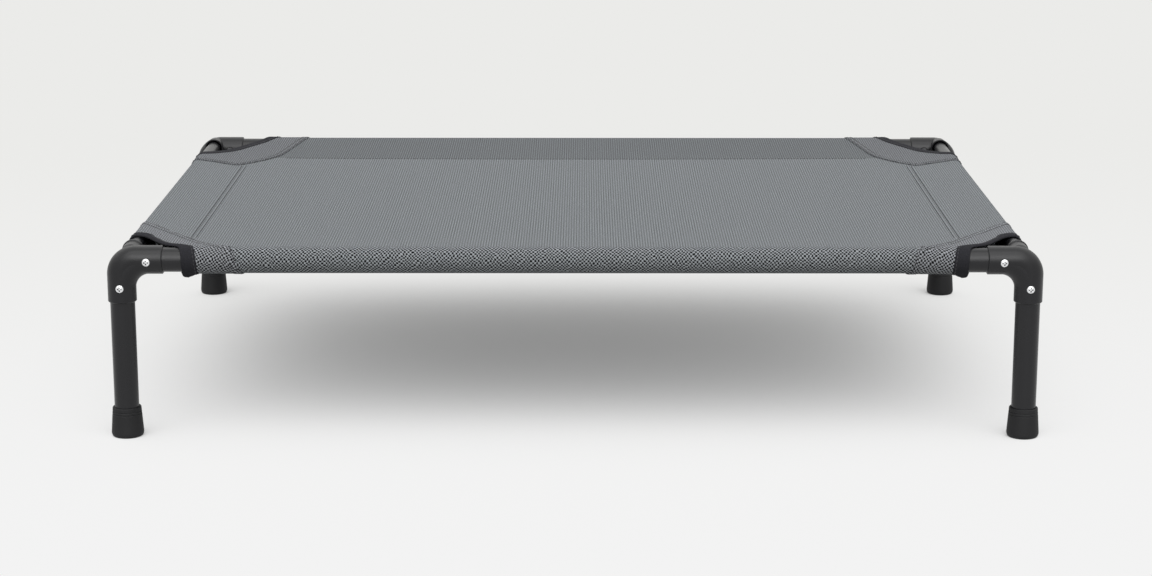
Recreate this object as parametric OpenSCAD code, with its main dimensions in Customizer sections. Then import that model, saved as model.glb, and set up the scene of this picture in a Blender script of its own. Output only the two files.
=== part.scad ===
// Raised dog cot: a bolted frame of round steel tube with four moulded three-way corner
// elbows, rubber feet, and a woven mesh sling that is held by a sleeve along each rail.
// Origin on the floor under the middle of the cot, +X along its length, -Y its front, +Z up.

/* [Frame] */
// Distance between the left and the right leg axes
frame_len = 920; // [640:5:1300]
// Distance between the front and the rear rail axes
frame_wid = 630; // [480:5:900]
// Height of the rail axes above the floor
rail_height = 185; // [120:1:320]
// Outside diameter of the long rails' and the legs' tubes
tube_d = 25; // [20:0.5:32]
// Outside diameter of the side rails' tubes
side_tube_d = 16; // [14:0.5:19]
// Wall of the tubes
tube_wall = 1.2; // [0.8:0.1:2.5]
// How far the side rails lie inside the leg axes
side_inset = 9; // [7:0.5:12]

/* [Corner elbows] */
// Plastic round the long rail's tube and the leg's tube
socket_wall = 1.85; // [1.4:0.05:4]
// Plastic round the side rail's tube
side_socket_wall = 2.2; // [1.8:0.05:3]
// Radial gap between a tube and its socket
socket_gap = 0.15; // [0.05:0.05:0.4]
// Plastic left between the blind ends of neighbouring sockets
socket_web = 2.35; // [1.5:0.05:5]
// Length of the long-rail arm and the leg arm, from the corner of their axes
arm_len = 43; // [38:0.5:70]
// Length of the side-rail arm, from the long rail's axis
side_arm_len = 24; // [22:0.5:40]
// Distance of the side rails' ends from the long rail's axis
side_stop = 2; // [1:0.5:6]
// How much slimmer the side-rail arm is where it starts in the bend
root_taper = 1.4; // [1:0.1:1.6]
// Length over which it gains its full size
root_len = 5; // [3:0.5:8]
// Centre-line radius of the bend between the long-rail arm and the leg arm
bend_r = 15; // [14.6:0.1:17]
// Radius of the fillet in the crotch of that bend
crotch_r = 15; // [6:0.5:18]
// How much slimmer the crotch fillet is than the arms
crotch_step = 0.2; // [0.1:0.05:1]
// Chamfer round the mouth of each arm
rim_chamfer = 0.7; // [0.3:0.1:1.2]
// Height of the bead round the mouth of the side-rail arm
bead_h = 1.1; // [0.8:0.1:2]
// Length of that bead along the arm
bead_len = 3.4; // [3:0.1:3.6]
// Widening of the side-rail socket at its mouth
flare_w = 1.8; // [0.6:0.1:1.9]
// Depth of that widening
flare_len = 4; // [1.5:0.1:6]

/* [Screws and nuts] */
// Distance of the long-rail and leg screws from the corner of the axes
screw_off = 27.5; // [25:0.5:32]
// Diameter of the screw shank
shank_d = 4; // [3:0.5:5]
// Clearance of the shank in its holes, on the diameter
hole_play = 0.4; // [0.2:0.1:1]
// Diameter of the pan head
head_d = 8; // [6:0.1:9]
// Height of the pan head
head_h = 2.4; // [1.6:0.1:3.5]
// Straight edge of the pan head below its dome
head_edge = 0.7; // [0.3:0.1:1.4]
// Length of the cross recess
recess_len = 4.8; // [3:0.1:5.2]
// Width of each slot of the cross recess
recess_w = 1.5; // [0.6:0.1:1.8]
// Depth of the cross recess
recess_depth = 1.3; // [0.6:0.1:1.6]
// Depth of the flat seats cut into the arms for the heads and the nuts
seat_depth = 0.8; // [0.6:0.05:1]
// Clearance round the heads and the nuts in their seats, on the diameter
seat_play = 1.2; // [0.6:0.1:2]
// Width of the lock nut across its flats
nut_flats = 7; // [5.5:0.1:8]
// Height of the lock nut's hexagon
nut_h = 3.2; // [2:0.1:4]
// Diameter of the lock nut's collar
collar_d = 6.2; // [5.4:0.1:7]
// Height of the lock nut's collar
collar_h = 1.6; // [0.8:0.1:2.5]
// Length of the shank that stands out of the nut
shank_tip = 0.8; // [0.2:0.1:1.5]

/* [Feet] */
// Height of the rubber foot
foot_h = 31; // [22:0.5:50]
// Rubber under the end of the leg
foot_floor = 4; // [2.5:0.1:8]
// Radius of the foot at its mouth
foot_top_r = 14.6; // [14:0.1:17]
// Radius of the foot where it is widest
foot_base_r = 16.5; // [15:0.1:22]
// Height of the rounded lower edge
foot_edge_h = 4.6; // [2:0.1:7]
// Inward reach of the rounded lower edge
foot_edge_w = 2.4; // [1:0.1:4]
// Radial gap between the leg and the foot
foot_gap = 0.1; // [0.05:0.05:0.3]
// Depth of the moulded grooves
groove_depth = 0.45; // [0.2:0.05:0.8]
// Distance of the upper groove below the mouth of the foot
groove_top = 4.4; // [3:0.1:6]
// Spacing of the two upper grooves
groove_pitch = 2.8; // [2.5:0.1:4]

/* [Sling] */
// Thickness of the woven mesh
cloth_t = 0.8; // [0.5:0.1:1.5]
// Gap between the mesh and the tube that it wraps
cloth_gap = 0.3; // [0.2:0.05:0.8]
// Distance of the front sleeve's seam from the rail's axis
front_hem = 70; // [45:1:100]
// Distance of the rear sleeve's seam from the rail's axis
rear_hem = 135; // [60:1:160]
// Distance of the side sleeves' seams from the rails' axes
side_hem = 56; // [40:1:90]
// Distance by which the lower layer of a sleeve stays back from the corners
hem_apart = 8; // [6:1:20]
// Cut-out of a front corner along the long rail, from the leg axis
front_scoop_long = 60; // [50:1:80]
// Cut-out of a front corner along the side rail, from the long rail's axis
front_scoop_side = 55; // [50:1:110]
// Roundness of a front cut-out: 1 is straight, 2 is an ellipse
front_scoop_round = 1.05; // [1:0.05:2]
// Cut-out of a rear corner along the long rail, from the leg axis
rear_scoop_long = 68; // [50:1:90]
// Cut-out of a rear corner along the side rail, from the long rail's axis
rear_scoop_side = 98; // [60:1:120]
// Roundness of a rear cut-out: 1 is straight, 2 is an ellipse
rear_scoop_round = 1.6; // [1:0.05:2]

/* [Corner patches and binding] */
// Thickness of the corner patches
patch_t = 0.6; // [0.4:0.1:1.2]
// Gap between layers of cloth
layer_gap = 0.3; // [0.2:0.05:0.5]
// Reach of a front patch along the long rail, from the leg axis
front_patch_long = 112; // [95:1:150]
// Reach of a front patch along the side rail, from the long rail's axis
front_patch_side = 125; // [125:1:170]
// Roundness of a front patch: 1 is straight, 2 is an ellipse
front_patch_round = 0.9; // [0.85:0.05:2]
// Reach of a rear patch along the long rail, from the leg axis
rear_patch_long = 124; // [105:1:160]
// Reach of a rear patch along the side rail, from the long rail's axis
rear_patch_side = 172; // [130:1:200]
// Roundness of a rear patch: 1 is straight, 2 is an ellipse
rear_patch_round = 2.2; // [1.2:0.05:2.6]
// Width of the binding tape that shows on the cloth
bind_w = 12; // [6:0.5:14]
// Thickness of the binding tape
bind_t = 0.6; // [0.4:0.1:1]

/* [Hidden] */
$fn = 64;
// Extra length of every cut that runs out of a solid
cut = 1;
// Steps along each curved edge of cloth and each turned edge
curve_steps = 12;
// Half width of a moulded groove along the foot
groove_half = 0.7;
// How far the lower layer of a sleeve reaches back into the wrap
hem_root = 1;

tube_r = tube_d / 2;
side_tube_r = side_tube_d / 2;
// Height of the side rails' axes above the long rails', which brings the tops of all tubes level
side_rise = tube_r - side_tube_r;
bore_r = tube_r + socket_gap;
side_bore_r = side_tube_r + socket_gap;
arm_r = bore_r + socket_wall;
side_arm_r = side_bore_r + side_socket_wall;
crotch_tube_r = arm_r - crotch_step;
// Distance of the long rails' ends from the leg's axis, clear of the side rail's socket
long_stop = side_inset + side_bore_r + socket_web;
// Distance of the legs' upper ends below the long rail's axis
leg_stop = bore_r + socket_web;
shank_r = shank_d / 2;
hole_r = (shank_d + hole_play) / 2;
nut_r = nut_flats / 2 / cos(30);
// Distance of the flat seats from the axis of an arm
seat = arm_r - seat_depth;
head_seat_r = (head_d + seat_play) / 2;
nut_seat_r = nut_r + seat_play / 2;
foot_bore_r = tube_r + foot_gap;

cloth_in_r = tube_r + cloth_gap;
cloth_out_r = cloth_in_r + cloth_t;
side_cloth_in_r = cloth_in_r - side_rise;
side_cloth_out_r = cloth_out_r - side_rise;
patch_in_r = cloth_out_r + layer_gap;
patch_out_r = patch_in_r + patch_t;
bind_in_r = patch_out_r + layer_gap;
bind_out_r = bind_in_r + bind_t;
// Outer face of the binding's lip, past the cut edge of the cloth
bind_lip = layer_gap + bind_t;

// Edges of cloth at a corner: reach along the long rail, reach along the side rail, roundness
front_scoop = [front_scoop_long, front_scoop_side, front_scoop_round];
rear_scoop = [rear_scoop_long, rear_scoop_side, rear_scoop_round];
front_patch = [front_patch_long, front_patch_side, front_patch_round];
rear_patch = [rear_patch_long, rear_patch_side, rear_patch_round];

// Corners: name, side along X, side along Y, cut-out edge, patch edge
CORNERS = [
    ["front_left", -1, -1, front_scoop, front_patch],
    ["front_right", 1, -1, front_scoop, front_patch],
    ["rear_left", -1, 1, rear_scoop, rear_patch],
    ["rear_right", 1, 1, rear_scoop, rear_patch]
];
CORNER_PIECES = ["leg", "elbow", "foot", "patch", "binding", "screws", "nuts"];

steel_black = [0.19, 0.19, 0.2];
plastic_black = [0.22, 0.22, 0.23];
nut_black = [0.15, 0.15, 0.16];
rubber_black = [0.17, 0.17, 0.18];
zinc = [0.8, 0.81, 0.82];
mesh_grey = [0.52, 0.54, 0.55];
patch_grey = [0.49, 0.5, 0.51];
tape_black = [0.16, 0.16, 0.17];

// Edge grown by a margin along both rails
function grown(edge, margin) = [edge[0] + margin, edge[1] + margin, edge[2]];

// Reach of an edge along the side rail, over that rail's axis, to the nearest 0.01 mm
function side_reach(edge) =
    round(100 * edge[1] * pow(1 - pow(side_inset / edge[0], edge[2]), 1 / edge[2])) / 100;

// Points of a superellipse from the long rail's axis to the side rail's axis
function edge_points(edge) =
    let (last = acos(pow(side_inset / edge[0], edge[2] / 2)))
    [for (i = [0:curve_steps])
        let (t = last * i / curve_steps)
        i == curve_steps
            ? [side_inset, side_reach(edge)]
            : [edge[0] * pow(cos(t), 2 / edge[2]), edge[1] * pow(sin(t), 2 / edge[2])]];

function reversed(points) = [for (i = [len(points) - 1:-1:0]) points[i]];

// Strip between two edges of one corner
function strip_points(inner, outer) = concat(edge_points(inner), reversed(edge_points(outer)));

// Plan position of a point given from a corner's axes
function in_plan(c, p) = [c[1] * (frame_len / 2 - p[0]), c[2] * (frame_wid / 2 - p[1])];

// Corner frame: origin where the long rail's axis meets the leg's, +X and +Y inwards along the rails
module at_corner(c) {
    translate([c[1] * frame_len / 2, c[2] * frame_wid / 2, rail_height])
        mirror([c[1] > 0 ? 1 : 0, 0, 0])
            mirror([0, c[2] > 0 ? 1 : 0, 0])
                children();
}

// Screw places of a corner, each with its axis on +Z towards the head
module at_long_screw() {
    translate([screw_off, 0, 0])
        rotate([90, 0, 0])
            children();
}
module at_leg_screw() {
    translate([0, 0, -screw_off])
        rotate([90, 0, 0])
            children();
}

// Tube along +Z
module tube(length, r) {
    difference() {
        cylinder(h = length, r = r);
        translate([0, 0, -cut])
            cylinder(h = length + 2 * cut, r = r - tube_wall);
    }
}

// Tube along X with a cross hole along Y near each end
module long_rail(side) {
    color(steel_black)
        translate([0, side * frame_wid / 2, rail_height])
            difference() {
                translate([-frame_len / 2 + long_stop, 0, 0])
                    rotate([0, 90, 0])
                        tube(frame_len - 2 * long_stop, tube_r);
                for (end = [-1, 1])
                    translate([end * (frame_len / 2 - screw_off), 0, 0])
                        rotate([90, 0, 0])
                            cylinder(h = tube_d + 2 * cut, r = hole_r, center = true);
            }
}

// Plain tube along Y, held in its sockets by the pull of the sling
module side_rail(side) {
    color(steel_black)
        translate([
            side * (frame_len / 2 - side_inset),
            -frame_wid / 2 + side_stop,
            rail_height + side_rise
        ])
            rotate([-90, 0, 0])
                tube(frame_wid - 2 * side_stop, side_tube_r);
}

module leg(c) {
    color(steel_black)
        difference() {
            translate([c[1] * frame_len / 2, c[2] * frame_wid / 2, foot_floor])
                tube(rail_height - leg_stop - foot_floor, tube_r);
            at_corner(c)
                at_leg_screw()
                    cylinder(h = tube_d + 2 * cut, r = hole_r, center = true);
        }
}

// Solid arm along +Z with a chamfered mouth
module arm(r, from, to) {
    rotate_extrude()
        polygon([[0, from], [r, from], [r, to - rim_chamfer], [r - rim_chamfer, to], [0, to]]);
}

// Solid side-rail arm along +Z, with a tapered root and a bead round its mouth
module beaded_arm(r, to) {
    top_r = r + bead_h;
    rotate_extrude()
        polygon([
            [0, 0],
            [r - root_taper, 0],
            [r, root_len],
            [r, to - bead_len],
            [top_r, to - bead_len + bead_h],
            [top_r, to - rim_chamfer],
            [top_r - rim_chamfer, to],
            [0, to]
        ]);
}

// Quarter bend from the long-rail arm round to the leg arm
module bend(centre_r, r) {
    translate([centre_r, 0, -centre_r])
        rotate([90, 0, 0])
            rotate([0, 0, 90])
                rotate_extrude(angle = 90)
                    translate([centre_r, 0])
                        circle(r);
}

// Through hole of one screw, with flat seats for its head and its nut
module screw_cut() {
    cylinder(h = 2 * (arm_r + cut), r = hole_r, center = true);
    translate([0, 0, arm_r - seat_depth])
        cylinder(h = seat_depth + cut, r = head_seat_r);
    translate([0, 0, -arm_r - cut])
        cylinder(h = seat_depth + cut, r = nut_seat_r);
}

module elbow(c) {
    color(plastic_black)
        at_corner(c)
            difference() {
                union() {
                    rotate([0, 90, 0])
                        arm(arm_r, bend_r, arm_len);
                    rotate([180, 0, 0])
                        arm(arm_r, bend_r, arm_len);
                    translate([side_inset, 0, side_rise])
                        rotate([-90, 0, 0])
                            beaded_arm(side_arm_r, side_arm_len);
                    bend(bend_r, arm_r);
                    bend(crotch_r + crotch_tube_r, crotch_tube_r);
                }
                translate([long_stop, 0, 0])
                    rotate([0, 90, 0])
                        cylinder(h = arm_len, r = bore_r);
                translate([0, 0, -leg_stop])
                    rotate([180, 0, 0])
                        cylinder(h = arm_len, r = bore_r);
                translate([side_inset, side_stop, side_rise])
                    rotate([-90, 0, 0])
                        cylinder(h = side_arm_len, r = side_bore_r);
                translate([side_inset, side_arm_len - flare_len, side_rise])
                    rotate([-90, 0, 0])
                        cylinder(h = 2 * flare_len, r1 = side_bore_r, r2 = side_bore_r + 2 * flare_w);
                at_long_screw()
                    screw_cut();
                at_leg_screw()
                    screw_cut();
            }
}

// Outside radius of the foot at a height, on its taper
function foot_r(z) =
    foot_base_r + (foot_top_r - foot_base_r) * (z - foot_edge_h) / (foot_h - foot_edge_h);

// Profile points of one moulded groove
function groove(z) = [
    [foot_r(z - groove_half), z - groove_half],
    [foot_r(z) - groove_depth, z],
    [foot_r(z + groove_half), z + groove_half]
];

module foot(c) {
    color(rubber_black)
        translate([c[1] * frame_len / 2, c[2] * frame_wid / 2, 0])
            rotate_extrude()
                polygon(concat(
                    [[0, 0]],
                    [for (i = [0:curve_steps])
                        let (t = 90 * i / curve_steps)
                        [foot_base_r - foot_edge_w * (1 - sin(t)), foot_edge_h * (1 - cos(t))]],
                    groove(foot_h - groove_top - groove_pitch),
                    groove(foot_h - groove_top),
                    [[foot_top_r, foot_h - rim_chamfer],
                        [foot_top_r - rim_chamfer, foot_h],
                        [foot_bore_r, foot_h],
                        [foot_bore_r, foot_floor],
                        [0, foot_floor]]
                ));
}

// Pan-head screw with a cross recess, its axis on Z
module screw() {
    difference() {
        translate([0, 0, seat])
            rotate_extrude()
                polygon(concat(
                    [[0, 0], [head_d / 2, 0]],
                    [for (i = [0:curve_steps])
                        let (t = 90 * i / curve_steps)
                        [head_d / 2 * cos(t), head_edge + (head_h - head_edge) * sin(t)]]
                ));
        for (turn = [0, 90])
            rotate([0, 0, turn])
                translate([-recess_len / 2, -recess_w / 2, seat + head_h - recess_depth])
                    cube([recess_len, recess_w, recess_depth + cut]);
    }
    shank = 2 * seat + nut_h + collar_h + shank_tip;
    translate([0, 0, seat - shank])
        cylinder(h = shank, r = shank_r);
}

// Lock nut under the far seat of a screw
module nut() {
    difference() {
        union() {
            translate([0, 0, -seat - nut_h])
                cylinder(h = nut_h, r = nut_r, $fn = 6);
            translate([0, 0, -seat - nut_h - collar_h])
                cylinder(h = collar_h, r = collar_d / 2);
        }
        translate([0, 0, -seat - nut_h - collar_h - cut])
            cylinder(h = nut_h + collar_h + 2 * cut, r = hole_r);
    }
}

module screws(c) {
    color(zinc)
        at_corner(c) {
            at_long_screw()
                screw();
            at_leg_screw()
                screw();
        }
}

module nuts(c) {
    color(nut_black)
        at_corner(c) {
            at_long_screw()
                nut();
            at_leg_screw()
                nut();
        }
}

// Angle past the bottom of the tube at which the lower layer of a sleeve leaves it
function fold(hem, r) = 2 * atan2(r, hem);

// Cross-section of cloth round a rail: from its top round the outside to the fold, +X inwards
module wrap_section(r_in, r_out, fold) {
    far = 3 * r_out;
    difference() {
        circle(r_out);
        circle(r_in);
        polygon([[0, 0], [0, far], [far, far], [far, -far], far * [sin(fold), -cos(fold)]]);
    }
}

// Point of a sleeve's lower layer: its distance from the rail's axis, and how far past the fold
function hem_point(turn, r, past) = r * [sin(turn), -cos(turn)] + past * [cos(turn), sin(turn)];

// How far past the fold a line of the lower layer comes to a height above the rail's axis
function seam_past(turn, r, height) = (height + r * cos(turn)) / sin(turn);

// Cross-section of a sleeve's lower layer: from within the wrap up to the middle of the panel's thickness
module hem_section(hem, r_in) {
    turn = fold(hem, r_in);
    near = r_in + cloth_t / 8;
    far = r_in + cloth_t * 7 / 8;
    seam = r_in + cloth_t / 2;
    polygon([
        hem_point(turn, near, -hem_root),
        hem_point(turn, near, seam_past(turn, near, seam)),
        hem_point(turn, far, seam_past(turn, far, seam)),
        hem_point(turn, far, -hem_root)
    ]);
}

// A rail's cross-section carried along X from one place to another, +X of the section towards +Y
module along_rail(from, to) {
    translate([from, 0, 0])
        rotate([90, 0, 90])
            linear_extrude(height = to - from)
                children();
}

// The same for the side rail of a corner, +X of the section towards +X
module along_side(from, to) {
    translate([side_inset, to, side_rise])
        rotate([90, 0, 0])
            linear_extrude(height = to - from)
                children();
}

// Sleeve round a long rail, with its panel side towards +Y
module long_sleeve(hem, scoop) {
    reach = frame_len / 2 - scoop[0];
    under = frame_len / 2 - side_inset - side_hem - hem_apart;
    along_rail(-reach, reach)
        wrap_section(cloth_in_r, cloth_out_r, fold(hem, cloth_in_r));
    along_rail(-under, under)
        hem_section(hem, cloth_in_r);
}

// Sleeve round a side rail, in the frame of the front left corner
module side_sleeve() {
    from = side_reach(front_scoop);
    to = frame_wid - side_reach(rear_scoop);
    along_side(from, to)
        wrap_section(side_cloth_in_r, side_cloth_out_r, fold(side_hem, side_cloth_in_r));
    along_side(from + hem_apart, to - hem_apart)
        hem_section(side_hem, side_cloth_in_r);
}

module sling() {
    color(mesh_grey) {
        translate([0, 0, rail_height + cloth_in_r])
            linear_extrude(height = cloth_t)
                polygon([for (k = [0, 2, 3, 1])
                    let (c = CORNERS[k], points = edge_points(c[3]))
                    for (p = c[1] * c[2] > 0 ? points : reversed(points))
                        in_plan(c, p)]);
        translate([0, -frame_wid / 2, rail_height])
            long_sleeve(front_hem, front_scoop);
        translate([0, frame_wid / 2, rail_height])
            mirror([0, 1, 0])
                long_sleeve(rear_hem, rear_scoop);
        for (k = [0, 1])
            at_corner(CORNERS[k])
                side_sleeve();
    }
}

// Layer of cloth over the cut corner of the sling: the flat strip between two edges,
// and the wraps round both rails
module corner_layer(inner, outer, r_in, r_out) {
    translate([0, 0, r_in])
        linear_extrude(height = r_out - r_in)
            polygon(strip_points(inner, outer));
    along_rail(inner[0], outer[0])
        wrap_section(r_in, r_out, 0);
    along_side(side_reach(inner), side_reach(outer))
        wrap_section(r_in - side_rise, r_out - side_rise, 0);
}

module patch(c) {
    color(patch_grey)
        at_corner(c)
            corner_layer(c[3], c[4], patch_in_r, patch_out_r);
}

module binding(c) {
    color(tape_black)
        at_corner(c) {
            corner_layer(grown(c[3], -bind_lip), grown(c[3], bind_w), bind_in_r, bind_out_r);
            corner_layer(grown(c[3], -bind_lip), grown(c[3], -layer_gap), cloth_in_r, bind_in_r);
        }
}

long_rail(-1);  // front_rail
long_rail(1);  // rear_rail
side_rail(-1);  // left_rail
side_rail(1);  // right_rail
sling();
for (c = CORNERS) {
    leg(c);
    elbow(c);
    foot(c);
    patch(c);
    binding(c);
    screws(c);
    nuts(c);
}
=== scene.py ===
"""Raised dog cot: the looks of its cloth, tubes, elbows, feet and fasteners.

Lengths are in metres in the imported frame: +X along the cot, -Y its front, +Z up. The cloth is drawn as it
is cut, flat, and one function lays that flat pattern over the four rails, so seams and weave follow it.
"""

import math

import bpy
import numpy as np
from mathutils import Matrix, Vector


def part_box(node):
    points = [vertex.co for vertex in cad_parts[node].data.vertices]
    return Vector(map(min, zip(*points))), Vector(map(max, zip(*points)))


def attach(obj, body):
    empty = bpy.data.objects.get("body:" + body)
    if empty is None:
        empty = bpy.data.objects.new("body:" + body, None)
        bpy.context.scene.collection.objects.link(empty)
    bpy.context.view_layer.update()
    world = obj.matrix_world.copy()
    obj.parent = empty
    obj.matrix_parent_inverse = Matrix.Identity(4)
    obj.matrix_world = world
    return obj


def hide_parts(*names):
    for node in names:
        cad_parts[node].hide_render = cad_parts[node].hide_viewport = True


bl_info = {
    "name": "Raised Dog Cot",
    "version": (1, 0, 0),
    "blender": (4, 5, 0),
    "location": "View3D > Sidebar > Cot",
    "description": "Dresses the packed frame of a raised dog cot in its cloth, finishes and studio",
    "category": "Object",
}

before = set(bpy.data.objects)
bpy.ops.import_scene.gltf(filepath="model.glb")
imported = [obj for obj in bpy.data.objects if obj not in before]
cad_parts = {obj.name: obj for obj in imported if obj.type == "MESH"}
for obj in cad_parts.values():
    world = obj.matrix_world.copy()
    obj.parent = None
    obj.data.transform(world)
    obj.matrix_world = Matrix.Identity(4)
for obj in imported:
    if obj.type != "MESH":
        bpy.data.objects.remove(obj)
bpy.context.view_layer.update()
MM = 0.001


def middle(node):
    """Centre of a node's box."""
    low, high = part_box(node)
    return (np.array(low) + np.array(high)) / 2


LONG_Y = abs(middle("front_rail")[1])
RAIL_Z = middle("front_rail")[2]
SIDE_X = abs(middle("left_rail")[0])
LEG_X = abs(middle("leg_front_left")[0])
LONG_R = (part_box("front_rail")[1].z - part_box("front_rail")[0].z) / 2
SIDE_R = (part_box("left_rail")[1].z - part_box("left_rail")[0].z) / 2

# Corners: name, side along X, side along Y.
CORNERS = (("front_left", -1, -1), ("front_right", 1, -1), ("rear_left", -1, 1), ("rear_right", 1, 1))

# Cut edge of the cloth and seam of the corner patch, in mm on the flat pattern: first the way along the long
# rail from the leg's axis, then the way along the side rail from the long rail's axis. A negative second
# number is round the long rail and back along the lower layer of its sleeve. A first number that is smaller
# than the side rail's inset is round the side rail.
CUT_EDGE = {
    "front": ((26, -120), (26, -105), (28, -92), (33, -80), (40, -70), (49, -61), (57, -53), (62.5, -45),
              (64, -34), (64, -22), (63, -12), (61, -4.5), (58, 0.5), (53, 3.5), (48, 6), (42.5, 10.5),
              (36.5, 18), (29.5, 29.5), (22.5, 41), (17.5, 47), (12, 50.5), (7, 52), (0, 53), (-10, 54.5),
              (-25, 57), (-60, 61), (-95, 65)),
    "rear": ((88, -190), (84, -80), (82, -50), (81, -21), (78, -9), (73, 2), (64, 30), (50, 60),
             (37, 86), (20, 99), (7, 101.5), (-10, 103), (-30, 105), (-60, 108), (-95, 112)),
}
# Width of the binding tape on each face in mm, by the second number of the cut edge. A front tape twists on
# its way between the rails and shows less of its width there.
TAPE_WIDTH = {
    "front": ((-40, 15), (-22, 14), (-6, 12.5), (0, 7), (5, 5), (40, 5), (50, 10), (54, 12)),
    "rear": ((0, 12), (100, 12)),
}
PATCH_SEAM = {
    "front": ((126, -50), (125, -44), (121, -28), (116, -12), (112, -3), (107, 1), (98, 5), (81, 18),
              (60, 46), (40, 74), (18, 105), (7, 119), (-7, 133), (-14, 139), (-32, 151)),
    "rear": ((128, -50), (127, -21), (124, 0), (119, 30), (114, 62), (108, 100), (101, 127), (84, 157),
             (65, 180), (56, 182), (40, 172), (17, 156), (7, 150), (-7, 142), (-14, 138), (-32, 129)),
}
# How far a patch and a tape run round the long rail and round the side rail, as lengths of cloth.
PATCH_ROUND = (44 * MM, 24 * MM)
TAPE_ROUND = (84 * MM, 30 * MM)
# The two rows of stitches on a patch, from its seam edge.
PATCH_ROWS = (2 * MM, 7 * MM)
# Ends of the side seams, behind the front rail's axis and before the rear rail's, and half the rear seam.
SIDE_SEAM_FRONT = 45 * MM
SIDE_SEAM_REAR = 181 * MM
REAR_SEAM_HALF = 348 * MM
# Bound end of a long sleeve, where slack cloth hangs: its middle from the leg's axis, and half its width.
MOUTH_FRONT = 67 * MM
MOUTH_REAR = 88 * MM
MOUTH_HALF = 8 * MM
# Lengths of cloth past the long rail's axis between which it hangs, and those over which the drop changes.
HANG_FROM = 34 * MM
HANG_GROWS = 12 * MM
HANG_TO = 80 * MM
HANG_FADES = 20 * MM
# Points that a corner's curve is worked out with.
CURVE_POINTS = 900


def linear(hex_colour):
    """sRGB hex colour as linear red, green and blue."""
    srgb = np.array([int(hex_colour[k:k + 2], 16) for k in (1, 3, 5)]) / 255
    rgb = np.where(srgb <= 0.04045, srgb / 12.92, ((srgb + 0.055) / 1.055) ** 2.4)
    return tuple(float(c) for c in rgb)


def colour_property(name, description, hex_colour):
    """Colour that a user can change, given as sRGB hex."""
    return bpy.props.FloatVectorProperty(
        name=name, description=description, subtype="COLOR", min=0, max=1, default=linear(hex_colour)
    )


def length_property(name, description, millimetres):
    """Length that a user can change, given in millimetres."""
    return bpy.props.FloatProperty(
        name=name, description=description, unit="LENGTH", precision=5, default=millimetres * MM
    )


def angle_property(name, description, degrees):
    """Angle that a user can change, given in degrees."""
    return bpy.props.FloatProperty(
        name=name, description=description, subtype="ANGLE", default=math.radians(degrees)
    )


def strength_property(name, description, strength):
    """Strength of a light that a user can change."""
    return bpy.props.FloatProperty(name=name, description=description, default=strength)


class SlingSettings(bpy.types.PropertyGroup):
    """Sizes and colours of the woven sling"""

    thickness: length_property("Thickness", "Thickness of the woven mesh", 0.8)
    tube_gap: length_property("Tube gap", "Gap between the mesh and the tube that it wraps", 0.3)
    front_hem: length_property("Front seam", "Distance of the front sleeve's seam from its rail's axis", 70)
    rear_hem: length_property("Rear seam", "Distance of the rear sleeve's seam from its rail's axis", 135)
    side_hem: length_property("Side seam", "Distance of the side sleeves' seams from their rails' axes", 56)
    sag: length_property("Sag", "How far the middle of the sling hangs below its edges", 3)
    mouth_drop: length_property("Mouth drop", "How far a sleeve's bound end hangs below its rail", 5)
    # The weave is somewhat coarser than a real mesh, so that it shows.
    weave: length_property("Weave", "Spacing of the mesh's raised crossings", 3.8)
    yarn: colour_property("Yarn", "Colour of the coated yarn", "#B9BEC2")
    # The near-black gaps are painted shade for what is seen through the holes, and over a rail the black
    # tube.
    gap: colour_property("Gaps", "Colour of the gaps between the yarns", "#08090A")


class CornerSettings(bpy.types.PropertyGroup):
    """Sizes and colours of the corner patches and their binding"""

    patch_thickness: length_property("Patch thickness", "Thickness of a corner patch", 0.6)
    turned_hem: length_property("Turned hem", "Width of the turned-in edge of a patch", 9)
    patch_yarn: colour_property("Patch yarn", "Colour of the patches' yarn", "#B7BABF")
    tape: colour_property("Tape", "Colour of the binding tape", "#313135")


class StitchSettings(bpy.types.PropertyGroup):
    """Sizes and colours of the sewing"""

    # The stitches are a little longer and thicker than real ones, so that they show.
    length: length_property("Stitch", "Length of one stitch", 3)
    pitch: length_property("Pitch", "Distance from one stitch to the next", 3.8)
    thread: length_property("Thread", "Thickness of the sewing thread", 0.9)
    row_gap: length_property("Row gap", "Distance between the two rows of a double seam", 5)
    colour: colour_property("Thread colour", "Colour of the sewing thread", "#232527")


class FrameSettings(bpy.types.PropertyGroup):
    """Colours of the rigid parts"""

    steel: colour_property("Tubes", "Colour of the powder coat on the tubes", "#1A1A1D")
    plastic: colour_property("Elbows", "Colour of the moulded elbows", "#19191C")
    rubber: colour_property("Feet", "Colour of the rubber feet", "#161618")
    zinc: colour_property("Screws", "Colour of the plated screws", "#F2F3F4")
    nut: colour_property("Nuts", "Colour of the blackened nuts", "#5A5A5C")


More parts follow.
